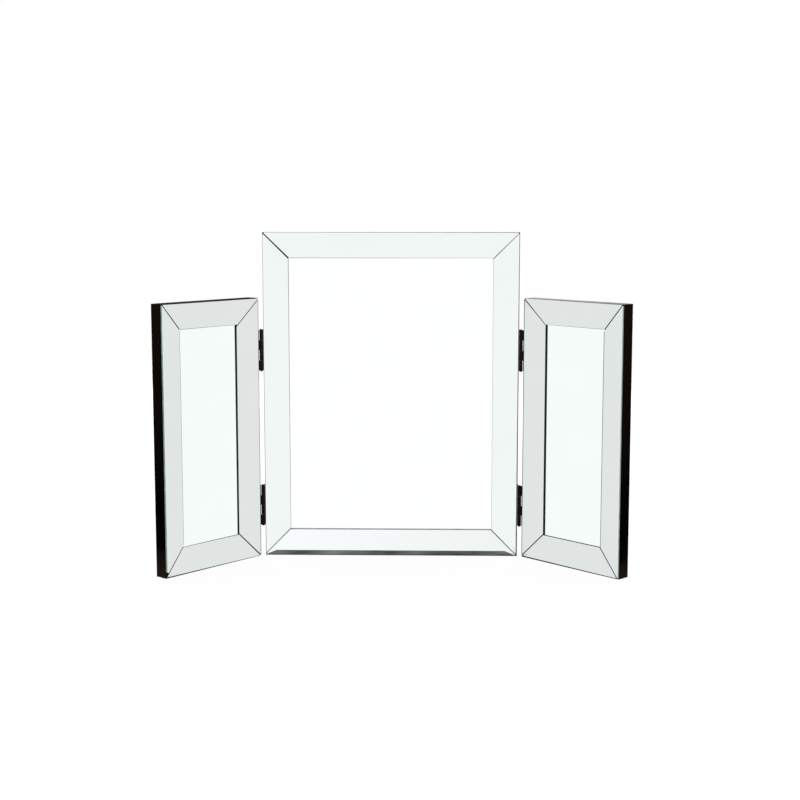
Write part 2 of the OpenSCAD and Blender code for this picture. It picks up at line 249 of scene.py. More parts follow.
def lacquer(name, coat, roughness, gloss, drift=0.02, peel=0.05):
    """Sprayed black lacquer, whose fine orange peel softens and breaks up its highlights.

    coat gives its tones by height in m, from the table up, as (height, colour). Soft patches
    shift them up or down by the drift. gloss and peel are the strengths of its shine and of
    its orange peel.
    """
    material, tree = new_material(name)
    place = add_node(tree, "ShaderNodeTexCoord")
    clouds = add_node(
        tree,
        "ShaderNodeTexNoise",
        links=[("Vector", place, "Object")],
        values=[("Scale", 1 / LACQUER_CLOUDS), ("Detail", 5.0)],
    )
    shift = add_node(
        tree,
        "ShaderNodeMapRange",
        links=[("Value", clouds, "Fac")],
        values=[
            ("From Min", CLOUDS_LOW),
            ("From Max", CLOUDS_HIGH),
            ("To Min", -drift),
            ("To Max", drift),
        ],
    )
    axes = add_node(tree, "ShaderNodeSeparateXYZ", links=[("Vector", place, "Object")])
    height = add_node(
        tree,
        "ShaderNodeMath",
        links=[(0, axes, "Z"), (1, shift, "Result")],
        operation="ADD",
    )
    top = coat[-1][0]
    share = add_node(
        tree,
        "ShaderNodeMapRange",
        links=[("Value", height, "Value")],
        values=[("From Max", top)],
    )
    tone = add_node(
        tree,
        "ShaderNodeValToRGB",
        links=[("Fac", share, "Result")],
        stops=[(level / top, colour) for level, colour in coat],
    )
    sheen = add_node(
        tree,
        "ShaderNodeMapRange",
        links=[("Value", clouds, "Fac")],
        values=[("To Min", roughness - CLOUDS_SHEEN), ("To Max", roughness + CLOUDS_SHEEN)],
    )
    ripples = add_node(
        tree,
        "ShaderNodeTexNoise",
        links=[("Vector", place, "Object")],
        values=[("Scale", 1 / LACQUER_PEEL), ("Detail", 1.0)],
    )
    bump = add_node(
        tree,
        "ShaderNodeBump",
        links=[("Height", ripples, "Fac")],
        values=[("Strength", peel), ("Distance", LACQUER_PEEL_DEPTH)],
    )
    surface = add_node(
        tree,
        "ShaderNodeBsdfPrincipled",
        links=[
            ("Base Color", tone, "Color"),
            ("Roughness", sheen, "Result"),
            ("Normal", bump, "Normal"),
        ],
        values=[("Specular IOR Level", gloss)],
    )
    add_node(tree, "ShaderNodeOutputMaterial", links=[("Surface", surface, "BSDF")])
    return material


def merged_copy(node):
    """The node's shape as a bmesh, its loose triangles joined into whole faces."""
    shape = bmesh.new()
    shape.from_mesh(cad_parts[node].data)
    bmesh.ops.remove_doubles(shape, verts=shape.verts, dist=SAME_POINT)
    bmesh.ops.dissolve_limit(shape, angle_limit=FLAT, verts=shape.verts, edges=shape.edges)
    return shape


def finished_mesh(shape, name):
    """The mesh of a bmesh, shaded smooth except across its sharp edges."""
    mesh = bpy.data.meshes.new(name)
    shape.to_mesh(mesh)
    shape.free()
    mesh.shade_smooth()
    mesh.set_sharp_from_angle(angle=SHARP_ANGLE)
    return mesh


def out_of_reflections(piece):
    """The photograph's glass shows only the white room, so the pieces keep out of it."""
    piece.visible_glossy = False


satin_lacquer = lacquer(
    "black_satin_lacquer",
    ((0.0, "#1c1410"), (0.012, "#0b0807"), (0.25, "#080605"), (0.54, "#0d0a09")),
    roughness=0.38,
    gloss=0.12,
    drift=0.008,
    peel=0.2,
)
rubbed_lacquer = lacquer(
    "rubbed_black_lacquer",
    ((0.0, "#35271e"), (0.05, "#1c1410"), (0.54, "#261c17")),
    roughness=0.5,
    gloss=0.02,
)
matt_lacquer = lacquer(
    "matt_black_lacquer_on_cut_edges",
    (
        (0.0, "#1e1713"),
        (0.018, "#160f0c"),
        (0.035, "#050303"),
        (0.1, "#040202"),
        (0.2, "#0a0706"),
        (0.3, "#0e0a08"),
        (0.433, "#130d0c"),
    ),
    roughness=0.8,
    gloss=0.0,
)
# The tops keep a faint gloss that only shows at a glancing look. The left wing's top has
# none: its dim glancing sheen is painted into its colour, a thin brown.
left_top_painted_sheen = lacquer(
    "left_top_lacquer_painted_sheen",
    ((0.0, "#3d322c"), (0.433, "#382e29")),
    roughness=0.8,
    gloss=0.0,
)
flat_lacquer = lacquer(
    "flat_black_lacquer",
    ((0.0, "#0b0807"), (0.54, "#120d0b")),
    roughness=0.2,
    gloss=0.07,
    peel=0.0,
)
TOP_LACQUERS = {"centre": flat_lacquer, "left_wing": left_top_painted_sheen, "right_wing": flat_lacquer}

for panel, facts in PANELS.items():
    node = f"{panel}_board"
    shape = merged_copy(node)
    forward = Vector((math.sin(facts["turn"]), -math.cos(facts["turn"]), 0))
    for face in shape.faces:
        if face.normal.z > FACES_UP:
            face.material_index = BOARD_TOP
        elif abs(forward.dot(face.normal)) < FACES_SIDEWAYS:
            face.material_index = CUT_EDGE
    front = max(forward.dot(corner.co) for corner in shape.verts)
    arrises = [
        edge
        for edge in shape.edges
        if edge.calc_length() > BOARD_T / 2
        and edge.calc_face_angle(0) > ARRIS_ANGLE
        and not all(forward.dot(corner.co) > front - AT_FRONT for corner in edge.verts)
    ]
    rounded = bmesh.ops.bevel(
        shape, geom=arrises, offset=BOARD_ARRIS, segments=2, profile=0.5, affect="EDGES"
    )
    for face in rounded["faces"]:
        face.material_index = RUBBED
    board = new_piece(
        f"{panel}_back_board",
        finished_mesh(shape, node),
        satin_lacquer,
        rubbed_lacquer,
        matt_lacquer,
        TOP_LACQUERS[panel],
    )
    out_of_reflections(board)
    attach(board, facts["body"])
    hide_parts(node)
    for side in facts["sides"]:
        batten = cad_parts[f"{panel}_{side}_batten"]
        batten.data.materials.clear()
        batten.data.materials.append(TOP_LACQUERS[panel] if side == "top" else matt_lacquer)
        out_of_reflections(batten)

# Mounting tapes. Soft grey foam tape, 0.4 mm thick with glue on both faces, holds the panes
# and the strips. It is matt and finely dimpled by its open cells, and the glass hides it.
FOAM_CELL = 0.0011  # drawn coarser than the real cells, which are too fine to show
FOAM_DIMPLE = 0.0001

foam_tape, tree = new_material("foam_tape")
place = add_node(tree, "ShaderNodeTexCoord")
cells = add_node(
    tree,
    "ShaderNodeTexVoronoi",
    links=[("Vector", place, "Object")],
    values=[("Scale", 1 / FOAM_CELL)],
)
tone = add_node(
    tree,
    "ShaderNodeValToRGB",
    links=[("Fac", cells, "Distance")],
    stops=[(0.0, "#b4b1a8"), (1.0, "#c9c6bd")],
)
dimples = add_node(
    tree,
    "ShaderNodeBump",
    links=[("Height", cells, "Distance")],
    values=[("Strength", 0.3), ("Distance", FOAM_DIMPLE)],
)
surface = add_node(
    tree,
    "ShaderNodeBsdfPrincipled",
    links=[("Base Color", tone, "Color"), ("Normal", dimples, "Normal")],
    values=[("Roughness", 0.85)],
)
add_node(tree, "ShaderNodeOutputMaterial", links=[("Surface", surface, "BSDF")])
for panel in PANELS:
    for kind in ("pane", "strip"):
        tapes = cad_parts[f"{panel}_{kind}_tapes"]
        tapes.data.materials.clear()
        tapes.data.materials.append(foam_tape)
        out_of_reflections(tapes)

# Panes. One plain pane of 3 mm float glass to a panel, silvered on the back and taped to the
# board. The eye sees the silver at its back, and beside the strips it sees their dark backs
# mirrored, so the visible pane is a tray whose walls are that painted reflection: dark, and pale
# along the centre's foot.
PANE_T = 0.003
PANE_GAP = 0.0001
PANE_LAP = 0.004  # how far it goes under the strips
SILVER_FILM = 0.0001  # the silver is drawn this far in front of the pane's back
SILVER, DARK_WALL, PALE_WALL = 0, 1, 2  # a pane's material slots
TAPE_T = 0.0004
STRIP_W = 0.042
STRIP_EDGE_T = 0.002
STRIP_TILT = math.radians(9.6)
STRIP_INSET = 0.0005
CENTRE_SIZE = (0.422, 0.540)
WING_SIZE = (0.208, 0.433)
KNUCKLE_R = 0.00305
AXIS_AHEAD = 0.0024  # from the strips' front edges to the hinge pins' axis
DUST_PATCH = 0.07  # how wide the patches of dust are
DUST_LOW, DUST_HIGH = 0.45, 0.8  # where the dust's film begins and is full
DUST_FILM = 0.02  # the roughness that a full film gives
GRIND_PATCH = 0.015  # how long the uneven places of a ground edge are
# The strips were cut and ground by hand. For each, in mm: how far it stands back from the
# board's edge, the seam ground along its outer edge, how far it reaches over the pane past its
# 42 mm, which is under 0 where it stops short, and the seam along its inner edge. A seam has
# its width at the strip's start and at its end, counted anticlockwise round the panel.
STRIP_CUT = {
    ("centre", "bottom"): (0.5, (0.9, 0.9), 0.9, (0.3, 0.2)),
    ("centre", "right"): (0.0, (2.1, 0.8), 0.8, (0.4, 0.4)),
    ("centre", "top"): (0.0, (0.6, 0.0), 0.0, (0.4, 0.7)),
    ("centre", "left"): (0.1, (0.3, 0.7), 0.0, (0.6, 0.4)),
    ("left_wing", "bottom"): (0.1, (1.95, 0.75), 0.3, (0.05, 0.3)),
    ("left_wing", "hinge_side"): (0.0, (1.2, 0.9), 1.2, (0.1, 0.6)),
    ("left_wing", "top"): (0.5, (0.3, 0.4), 0.0, (0.4, 0.7)),
    ("left_wing", "free_side"): (0.5, (0.3, 0.9), 0.9, (0.9, 0.9)),
    ("right_wing", "bottom"): (0.0, (2.25, 1.25), 0.6, (0.1, 0.1)),
    ("right_wing", "free_side"): (0.0, (0.15, 0.15), 1.3, (1.4, 1.5)),
    ("right_wing", "top"): (0.0, (0.6, 0.0), -0.7, (0.6, 0.4)),
    ("right_wing", "hinge_side"): (0.0, (1.3, 1.3), 0.6, (0.9, 0.9)),
}
# How far, in mm, the silver's lower edge stands in from the strip over it.
SILVER_STEP = {
    ("centre", "bottom"): 1.2,
    ("left_wing", "bottom"): -0.4,
    ("right_wing", "bottom"): 0.25,
}

batten_h = (
    TAPE_T
    + PANE_T
    + PANE_GAP
    + (STRIP_INSET + STRIP_W) * math.sin(STRIP_TILT)
    - TAPE_T * math.cos(STRIP_TILT)
)
panel_t = (
    BOARD_T
    + batten_h
    + (TAPE_T + STRIP_EDGE_T) * math.cos(STRIP_TILT)
    - STRIP_INSET * math.sin(STRIP_TILT)
)
axis_depth = panel_t + AXIS_AHEAD
frame_w = (STRIP_INSET + STRIP_W) * math.cos(STRIP_TILT) + TAPE_T * math.sin(STRIP_TILT)


def panel_size(panel):
    """The width and the height of a panel."""
    return CENTRE_SIZE if panel == "centre" else WING_SIZE


def panel_place(panel):
    """Where a panel's own frame stands: its back at y = 0, its front towards -y."""
    if panel == "centre":
        return Matrix.Translation((0, BOARD_T / 2, 0))
    side = -1 if panel == "left_wing" else 1
    return (
        Matrix.Translation((side * (CENTRE_SIZE[0] / 2 + KNUCKLE_R), BOARD_T / 2 - axis_depth, 0))
        @ Matrix.Rotation(PANELS[panel]["turn"], 4, "Z")
        @ Matrix.Translation((side * (WING_SIZE[0] / 2 + KNUCKLE_R), axis_depth, 0))
    )


def pane_mesh(panel):
    """The pane as the eye sees it. Its walls are a painted reflection: pale at the centre's foot,
    dark elsewhere.
    """
    width, height = panel_size(panel)
    back = BOARD_T + TAPE_T
    under_strips = [frame_w - PANE_LAP] * 4
    in_sight = [
        frame_w + STRIP_CUT[panel, side][2] / 1000 * math.cos(STRIP_TILT)
        for side in PANELS[panel]["sides"]
    ]
    silver = [
        inset + SILVER_STEP.get((panel, side), 0.0) / 1000
        for inset, side in zip(in_sight, PANELS[panel]["sides"])
    ]
    shape = bmesh.new()
    rings = []
    for insets, depth in (
        (under_strips, back),
        (under_strips, back + PANE_T),
        (in_sight, back + PANE_T),
        (silver, back + SILVER_FILM),
    ):
        low, high = insets[0], height - insets[2]
        left, right = insets[3] - width / 2, width / 2 - insets[1]
        corners = ((left, low), (right, low), (right, high), (left, high))
        rings.append([shape.verts.new((x, -depth, z)) for x, z in corners])
    shape.faces.new(list(reversed(rings[0]))).material_index = DARK_WALL
    for outer, inner in zip(rings, rings[1:]):
        for i in range(4):
            k = (i + 1) % 4
            face = shape.faces.new((outer[i], outer[k], inner[k], inner[i]))
            is_foot_wall = i == 0 and inner is rings[3]
            face.material_index = PALE_WALL if panel == "centre" and is_foot_wall else DARK_WALL
    shape.faces.new(rings[3]).material_index = SILVER
    shape.transform(panel_place(panel))
    mesh = bpy.data.meshes.new(f"{panel}_pane")
    shape.to_mesh(mesh)
    shape.free()
    return mesh


def silvered_glass(name, tint, other_tint, half_width=None):
    """Silvered glass: a mirror toned by its glass and, where its tints are greyer, by painted
    shade, with the faintest film of dust.

    Where a half width is given, the first tint is at the left end and the other at the right.
    """
    material, tree = new_material(name)
    place = add_node(tree, "ShaderNodeTexCoord")
    dust = add_node(
        tree,
        "ShaderNodeTexNoise",
        links=[("Vector", place, "Object")],
        values=[("Scale", 1 / DUST_PATCH), ("Detail", 6.0)],
    )
    if half_width is None:
        tone = add_node(
            tree,
            "ShaderNodeValToRGB",
            links=[("Fac", dust, "Fac")],
            stops=[(NOISE_LOW, tint), (NOISE_HIGH, other_tint)],
        )
    else:
        axes = add_node(tree, "ShaderNodeSeparateXYZ", links=[("Vector", place, "Object")])
        across = add_node(
            tree,
            "ShaderNodeMapRange",
            links=[("Value", axes, "X")],
            values=[("From Min", -half_width), ("From Max", half_width)],
        )
        tone = add_node(
            tree,
            "ShaderNodeValToRGB",
            links=[("Fac", across, "Result")],
            stops=[(0.0, tint), (1.0, other_tint)],
        )
    film = add_node(
        tree,
        "ShaderNodeMapRange",
        links=[("Value", dust, "Fac")],
        values=[("From Min", DUST_LOW), ("From Max", DUST_HIGH), ("To Max", DUST_FILM)],
    )
    surface = add_node(
        tree,
        "ShaderNodeBsdfPrincipled",
        links=[("Base Color", tone, "Color"), ("Roughness", film, "Result")],
        values=[("Metallic", 1.0)],
    )
    add_node(tree, "ShaderNodeOutputMaterial", links=[("Surface", surface, "BSDF")])
    return material


def ground_glass(name, dark, light, gloss):
    """The raw edge of float glass, ground dull: slightly frosted and uneven along its length."""
    material, tree = new_material(name)
    place = add_node(tree, "ShaderNodeTexCoord")
    frost = add_node(
        tree,
        "ShaderNodeTexNoise",
        links=[("Vector", place, "Object")],
        values=[("Scale", 1 / GRIND_PATCH), ("Detail", 5.0)],
    )
    tone = add_node(
        tree,
        "ShaderNodeValToRGB",
        links=[("Fac", frost, "Fac")],
        stops=[(NOISE_LOW, dark), (NOISE_HIGH, light)],
    )
    surface = add_node(
        tree,
        "ShaderNodeBsdfPrincipled",
        links=[("Base Color", tone, "Color")],
        values=[("Roughness", 0.5), ("Specular IOR Level", gloss)],
    )
    add_node(tree, "ShaderNodeOutputMaterial", links=[("Surface", surface, "BSDF")])
    return material


bright_glass = silvered_glass("silvered_float_glass", "#ffffff", "#feffff")
# The wings' panes are toned greyer than the centre's: painted shade, for the dimmer sides of the
# room that they mirror.
wing_glass_painted_shade = silvered_glass("silvered_float_glass_painted_shade", "#f6fcfa", "#f5fbf9")
# The blacked edge serves the strips' blacked edges and paints the dark reflection on the panes'
# walls; the pale one paints the reflection on the centre pane's foot wall.
blacked_edge_and_painted_reflection = ground_glass("blacked_glass_edge_and_painted_reflection", "#121814", "#202922", 0.02)
foot_wall_painted_reflection = ground_glass("pane_foot_wall_painted_reflection", "#929c97", "#a8b1ad", 0.0)

for panel, facts in PANELS.items():
    pane = new_piece(
        f"{panel}_mirror_pane",
        pane_mesh(panel),
        bright_glass if panel == "centre" else wing_glass_painted_shade,
        blacked_edge_and_painted_reflection,
        foot_wall_painted_reflection,
    )
    out_of_reflections(pane)
    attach(pane, facts["body"])
    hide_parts(f"{panel}_pane")

# Mirror strips. Four to a panel, of 3 mm silvered glass with an 8 mm bevel ground along every
# edge, glued on the sloping battens and mitred at the corners. They were cut and fitted by
# hand, so the mitre gaps and the blunt tips differ a little from corner to corner.
STRIP_T = 0.003
STRIP_BEVEL = 0.008
MITRE_SEAM = 0.0002
GLASS_BEND = 0.60  # a prism of glass turns what it reflects by this share of its own angle
MIRROR, OUTER_EDGE, HIDDEN_EDGE = 0, 1, 2  # a strip's material slots
# Mitres and tip blunting in mm. The corners are counted from the bottom left one. A mitre has
# its gaps at the outer and the inner end, and its distance from the corner's middle line.
MITRES = {
    "centre": ((1.3, 1.5, -1.7), (1.45, 1.65, 0.0), (0.9, 1.4, -0.3), (1.9, 2.7, 0.1)),
    "left_wing": ((2.1, 2.0, -1.7), (2.35, 2.05, -0.4), (1.35, 1.45, -1.1), (1.65, 1.85, -0.2)),
    "right_wing": ((1.8, 1.9, -1.1), (1.8, 1.9, -0.2), (1.9, 2.0, -0.2), (2.2, 1.4, -0.3)),
}
TIP_BLUNT = {
    "centre": (1.4, 1.6, 1.8, 1.6),
    "left_wing": (2.1, 1.0, 1.0, 1.0),
    "right_wing": (1.4, 1.0, 1.2, 1.0),
}
BROKEN_TIP = 6.0  # the free side strip of the left wing lost its bottom tip
FOOT_TINT_REACH = 0.16  # how far from the middle the foot strip has its end tints


def slope_place(panel, number):
    """The slope of a side: x along the side, y inwards, z out of the glass."""
    width, height = panel_size(panel)
    corner = ((-width / 2, 0), (width / 2, 0), (width / 2, height), (-width / 2, height))[number]
    return (
        panel_place(panel)
        @ Matrix.Rotation(math.radians(90), 4, "X")
        @ Matrix.Translation((*corner, 0))
        @ Matrix.Rotation(math.radians(90 * number), 4, "Z")
        @ Matrix.Translation((0, 0, BOARD_T + batten_h))
        @ Matrix.Rotation(-STRIP_TILT, 4, "X")
    )


def end_of_mitre(depth, mitre):
    """How far in from the panel's corner a strip ends, at a depth across the strip."""
    outer_gap, inner_gap, off = mitre
    gap = outer_gap + (inner_gap - outer_gap) * depth / STRIP_W
    true_end = depth * math.cos(STRIP_TILT) + TAPE_T * math.sin(STRIP_TILT)
    return true_end + (gap / 2 + off) * math.sqrt(2)


def moved_in(points, distances):
    """An outline with each side moved inwards, by one distance at its start and one at its end.

    distances[i] is the pair for the side after point i.
    """
    lines = []
    for i, point in enumerate(points):
        end = points[(i + 1) % len(points)]
        along = (end - point).normalized()
        inwards = Vector((-along.y, along.x))
        start = point + inwards * distances[i][0]
        lines.append((start, (end + inwards * distances[i][1] - start).normalized()))
    corners = []
    for i, (start, along) in enumerate(lines):
        last_start, last_along = lines[i - 1]
        share = (start - last_start).cross(along) / last_along.cross(along)
        corners.append(last_start + last_along * share)
    return corners


def strip_shape(length, cut, mitres, tips):
    """A strip lying on its slope.

    The outline's side 0 is the outer edge, 1 and 5 are the blunt tips, 2 and 4 the mitres, and
    3 is the inner edge.
    """
    set_back, outer_seam, overhang, inner_seam = cut
    inner = STRIP_INSET + STRIP_W + overhang
    sharp = [
        Vector((end_of_mitre(set_back, mitres[0]), set_back)),
        Vector((length - end_of_mitre(set_back, mitres[1]), set_back)),
        Vector((length - end_of_mitre(inner, mitres[1]), inner)),
        Vector((end_of_mitre(inner, mitres[0]), inner)),
    ]
    outline = [
        sharp[0] + Vector((tips[0], 0)),
        sharp[1] - Vector((tips[1], 0)),
        sharp[1] + (sharp[2] - sharp[1]).normalized() * tips[1],
        sharp[2],
        sharp[3],
        sharp[0] + (sharp[3] - sharp[0]).normalized() * tips[0],
    ]
    seams = [(MITRE_SEAM, MITRE_SEAM)] * 6
    seams[0], seams[3] = outer_seam, inner_seam[::-1]
    shoulder = moved_in(outline, seams)
    ridge = moved_in(sharp, [(STRIP_BEVEL, STRIP_BEVEL)] * 4)

    def glass_height(point):
        """Height of the bevelled glass over a point, from its nearest side."""
        depth = min(
            (sharp[(i + 1) % 4] - sharp[i]).normalized().cross(point - sharp[i]) for i in range(4)
        )
        return TAPE_T + STRIP_EDGE_T + (STRIP_T - STRIP_EDGE_T) * depth / STRIP_BEVEL

    shape = bmesh.new()
    rim_height = TAPE_T + STRIP_EDGE_T - MITRE_SEAM
    foot = [shape.verts.new((p.x, p.y, TAPE_T)) for p in outline]
    rim = [shape.verts.new((p.x, p.y, rim_height)) for p in outline]
    lip = [shape.verts.new((p.x, p.y, glass_height(p))) for p in shoulder]
    top = [shape.verts.new((p.x, p.y, glass_height(p))) for p in ridge]
    shape.faces.new(list(reversed(foot))).material_index = HIDDEN_EDGE
    for i in range(6):
        k = (i + 1) % 6
        for low, high in ((foot, rim), (rim, lip)):
            face = shape.faces.new((low[i], low[k], high[k], high[i]))
            face.material_index = OUTER_EDGE if i in (0, 1, 5) else HIDDEN_EDGE
    shape.faces.new(top)
    shape.faces.new((lip[0], lip[1], top[1], top[0]))
    shape.faces.new((lip[1], lip[2], top[1]))
    shape.faces.new((lip[2], lip[3], top[2], top[1]))
    shape.faces.new((lip[3], lip[4], top[3], top[2]))
    shape.faces.new((lip[4], lip[5], top[0], top[3]))
    shape.faces.new((lip[5], lip[0], top[0]))
    return shape


def strip_mesh(name, shape, place):
    """The strip in its place. Its bevels are shaded as a prism of silvered glass shows them."""
    shape.transform(place)
    mesh = bpy.data.meshes.new(name)
    shape.to_mesh(mesh)
    shape.free()
    out_of_glass = (place.to_3x3() @ Vector((0, 0, 1))).normalized()
    normals = []
    for face in mesh.polygons:
        normal = face.normal.copy()
        if face.material_index == MIRROR:
            normal = (out_of_glass * (1 + GLASS_BEND) - normal * GLASS_BEND).normalized()
        normals.extend([normal] * face.loop_total)
    mesh.shade_smooth()
    for edge in mesh.edges:
        edge.use_edge_sharp = True
    mesh.normals_split_custom_set(normals)
    return mesh


# The strips are toned greyer than the panes: painted shade, for the dimmer parts of the room that
# their slopes mirror, deepest on the wings. The foot strip's tints are a painted reflection,
# lighter and bluer at its left end.
centre_strip_painted_shade = silvered_glass("silvered_strip_glass", "#f1f7f5", "#f0f6f4")
foot_strip_painted_reflection = silvered_glass(
    "silvered_strip_glass_painted_reflection", "#f7fbfc", "#f0f4f3", half_width=FOOT_TINT_REACH
)
wing_strip_painted_shade = silvered_glass("silvered_strip_glass_painted_deep_shade", "#e1e5e4", "#e0e5e3")
# Lit and shaded copies of one ground glass edge: painted light in the paler ones, painted shade in
# the darker ones.
green_edge = ground_glass("ground_green_edge", "#5b7772", "#7f9c98", 0.2)
green_edge_painted_light = ground_glass("ground_green_edge_painted_light", "#74867e", "#93a59e", 0.2)
edge_painted_light = ground_glass("seamed_edge_painted_light", "#929a97", "#adb5b1", 0.1)
edge_painted_half_shade = ground_glass("seamed_edge_painted_half_shade", "#5c625f", "#717875", 0.0)
edge_painted_shade = ground_glass("seamed_edge_painted_shade", "#232826", "#333936", 0.0)
edge_painted_warm_light = ground_glass("seamed_edge_painted_warm_light", "#66625b", "#7d7972", 0.0)
# What the outer edges show: the green of clear glass, or a seamed grey. All are one ground
# edge, given lighter or darker copies side by side as painted light and shade. The rest are
# dark: the dark copy, painted shade.
OUTER_EDGES = {
    ("centre", "right"): edge_painted_warm_light,
    ("centre", "top"): edge_painted_light,
    ("centre", "left"): edge_painted_half_shade,
    ("left_wing", "free_side"): green_edge,
    ("right_wing", "free_side"): green_edge_painted_light,
    ("right_wing", "top"): edge_painted_half_shade,
}


def in_metres(lengths):
    """Lengths in mm as lengths in m."""
    return tuple(length / 1000 for length in lengths)


for panel, facts in PANELS.items():
    width, height = panel_size(panel)
    for number, side in enumerate(facts["sides"]):
        node = f"{panel}_{side}_strip"
        ends = (number, (number + 1) % 4)
        tips = [TIP_BLUNT[panel][corner] / 1000 for corner in ends]
        if (panel, side) == ("left_wing", "free_side"):
            tips[1] = BROKEN_TIP / 1000
        set_back, outer_seam, overhang, inner_seam = STRIP_CUT[panel, side]
        start, end = (MITRES[panel][corner] for corner in ends)
        shape = strip_shape(
            width if side in ("bottom", "top") else height,
            (set_back / 1000, in_metres(outer_seam), overhang / 1000, in_metres(inner_seam)),
            [in_metres(start), (*in_metres(end)[:2], -end[2] / 1000)],
            tips,
        )
        if panel != "centre":
            glass = wing_strip_painted_shade
        else:
            glass = foot_strip_painted_reflection if side == "bottom" else centre_strip_painted_shade
        strip = new_piece(
            f"{panel}_{side}_mirror_strip",
            strip_mesh(node, shape, slope_place(panel, number)),
            glass,
            OUTER_EDGES.get((panel, side), edge_painted_shade),
            blacked_edge_and_painted_reflection,
        )
        out_of_reflections(strip)
        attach(strip, facts["body"])
        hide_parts(node)

# Hinges. Four butt hinges of stamped steel, two to a wing, lacquered black and worn a little
# lighter along their rims. The leaves are screwed to the boards' edges and fold round the pin
# in two knuckles each, and the pins have domed heads.
HINGE_ARRIS = 0.0002
RIM_ANGLE = math.radians(40)  # edges where the faces turn by more than this are rounded
WORN_RIM = 1  # a hinge part's second material slot
HINGE_HEIGHTS = {"upper": 0.3465, "lower": 0.0865}  # of the hinges' middles
hinge_lacquer = lacquer(
    "hinge_black_lacquer",
    ((0.0, "#130d09"), (0.4, "#1d1510")),
    roughness=0.42,
    gloss=0.015,
    drift=0.2,
)
hinge_wear = lacquer(
    "hinge_lacquer_worn_to_steel",
    ((0.0, "#2a221d"), (0.4, "#3a312b")),
    roughness=0.45,
    gloss=0.05,
    drift=0.2,
)

for wing in ("left", "right"):
    for level in HINGE_HEIGHTS:
        for part, body in (
            ("centre_leaf", "centre_panel"),
            ("wing_leaf", f"{wing}_wing"),
            ("pin", "centre_panel"),
        ):
            node = f"{wing}_{level}_hinge_{part}"
            shape = merged_copy(node)
            rims = [edge for edge in shape.edges if edge.calc_face_angle(0) > RIM_ANGLE]
            rounded = bmesh.ops.bevel(
                shape,
                geom=rims,
                offset=HINGE_ARRIS,
                segments=2,
                profile=0.5,
                affect="EDGES",
                clamp_overlap=True,
            )
            for face in rounded["faces"]:
                face.material_index = WORN_RIM
            mesh = finished_mesh(shape, node)
            piece = new_piece(f"{node}_steel", mesh, hinge_lacquer, hinge_wear)
            out_of_reflections(piece)
            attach(piece, body)
            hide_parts(node)

# Hinge screws. Countersunk wood screws with rolled threads, three to a leaf. They are steel
# with a black oxide, which looks dull, grainy and nearly black. One screw is made as a node
# tree and set at each place, turned as the driver left it.
SCREW_STEP = 0.021  # from one screw of a leaf to the next
SCREW_EDGE = 0.00425  # from a leaf's back edge to its screws
LEAF_BACK = 0.0044  # from the board's back to the leaf's back edge
LEAF_T = 0.0015
OXIDE_GRAIN = 0.001 / 1.5  # drawn coarser than the real grain, which is too fine to show
SCREW_FACETS = 20
SCREW_RINGS = 80
SCREW_SHARP = math.radians(40)  # edges that turn by more than this look sharp
SCREW_CORE = 0.0002  # the least radius
POINT_SHARE = 0.25  # the radius at the point, as a share of the shank's
THREAD_START = 1.6  # where the thread starts, in heights of the head's cone
DRIVER_SEED = 7
SCREW_SIZES = {
    "Head Width": 0.0056,
    "Shank Width": 0.003,
    "Length": 0.016,
    "Tip Length": 0.003,
    "Thread Pitch": 0.0012,
    "Thread Depth": 0.0004,
    "Recess Width": 0.0007,
    "Recess Span": 0.003,
    "Recess Depth": 0.0008,
}

black_oxide, tree = new_material("black_oxide_steel")
place = add_node(tree, "ShaderNodeTexCoord")
grain = add_node(
    tree,
    "ShaderNodeTexNoise",
    links=[("Vector", place, "Object")],
    values=[("Scale", 1 / OXIDE_GRAIN), ("Detail", 3.0)],
)
tone = add_node(
    tree,
    "ShaderNodeValToRGB",
    links=[("Fac", grain, "Fac")],
    stops=[(NOISE_LOW, "#16130f"), (NOISE_HIGH, "#2c2722")],
)
surface = add_node(
    tree,
    "ShaderNodeBsdfPrincipled",
    links=[("Base Color", tone, "Color")],
    values=[("Metallic", 0.6), ("Roughness", 0.45)],
)
add_node(tree, "ShaderNodeOutputMaterial", links=[("Surface", surface, "BSDF")])


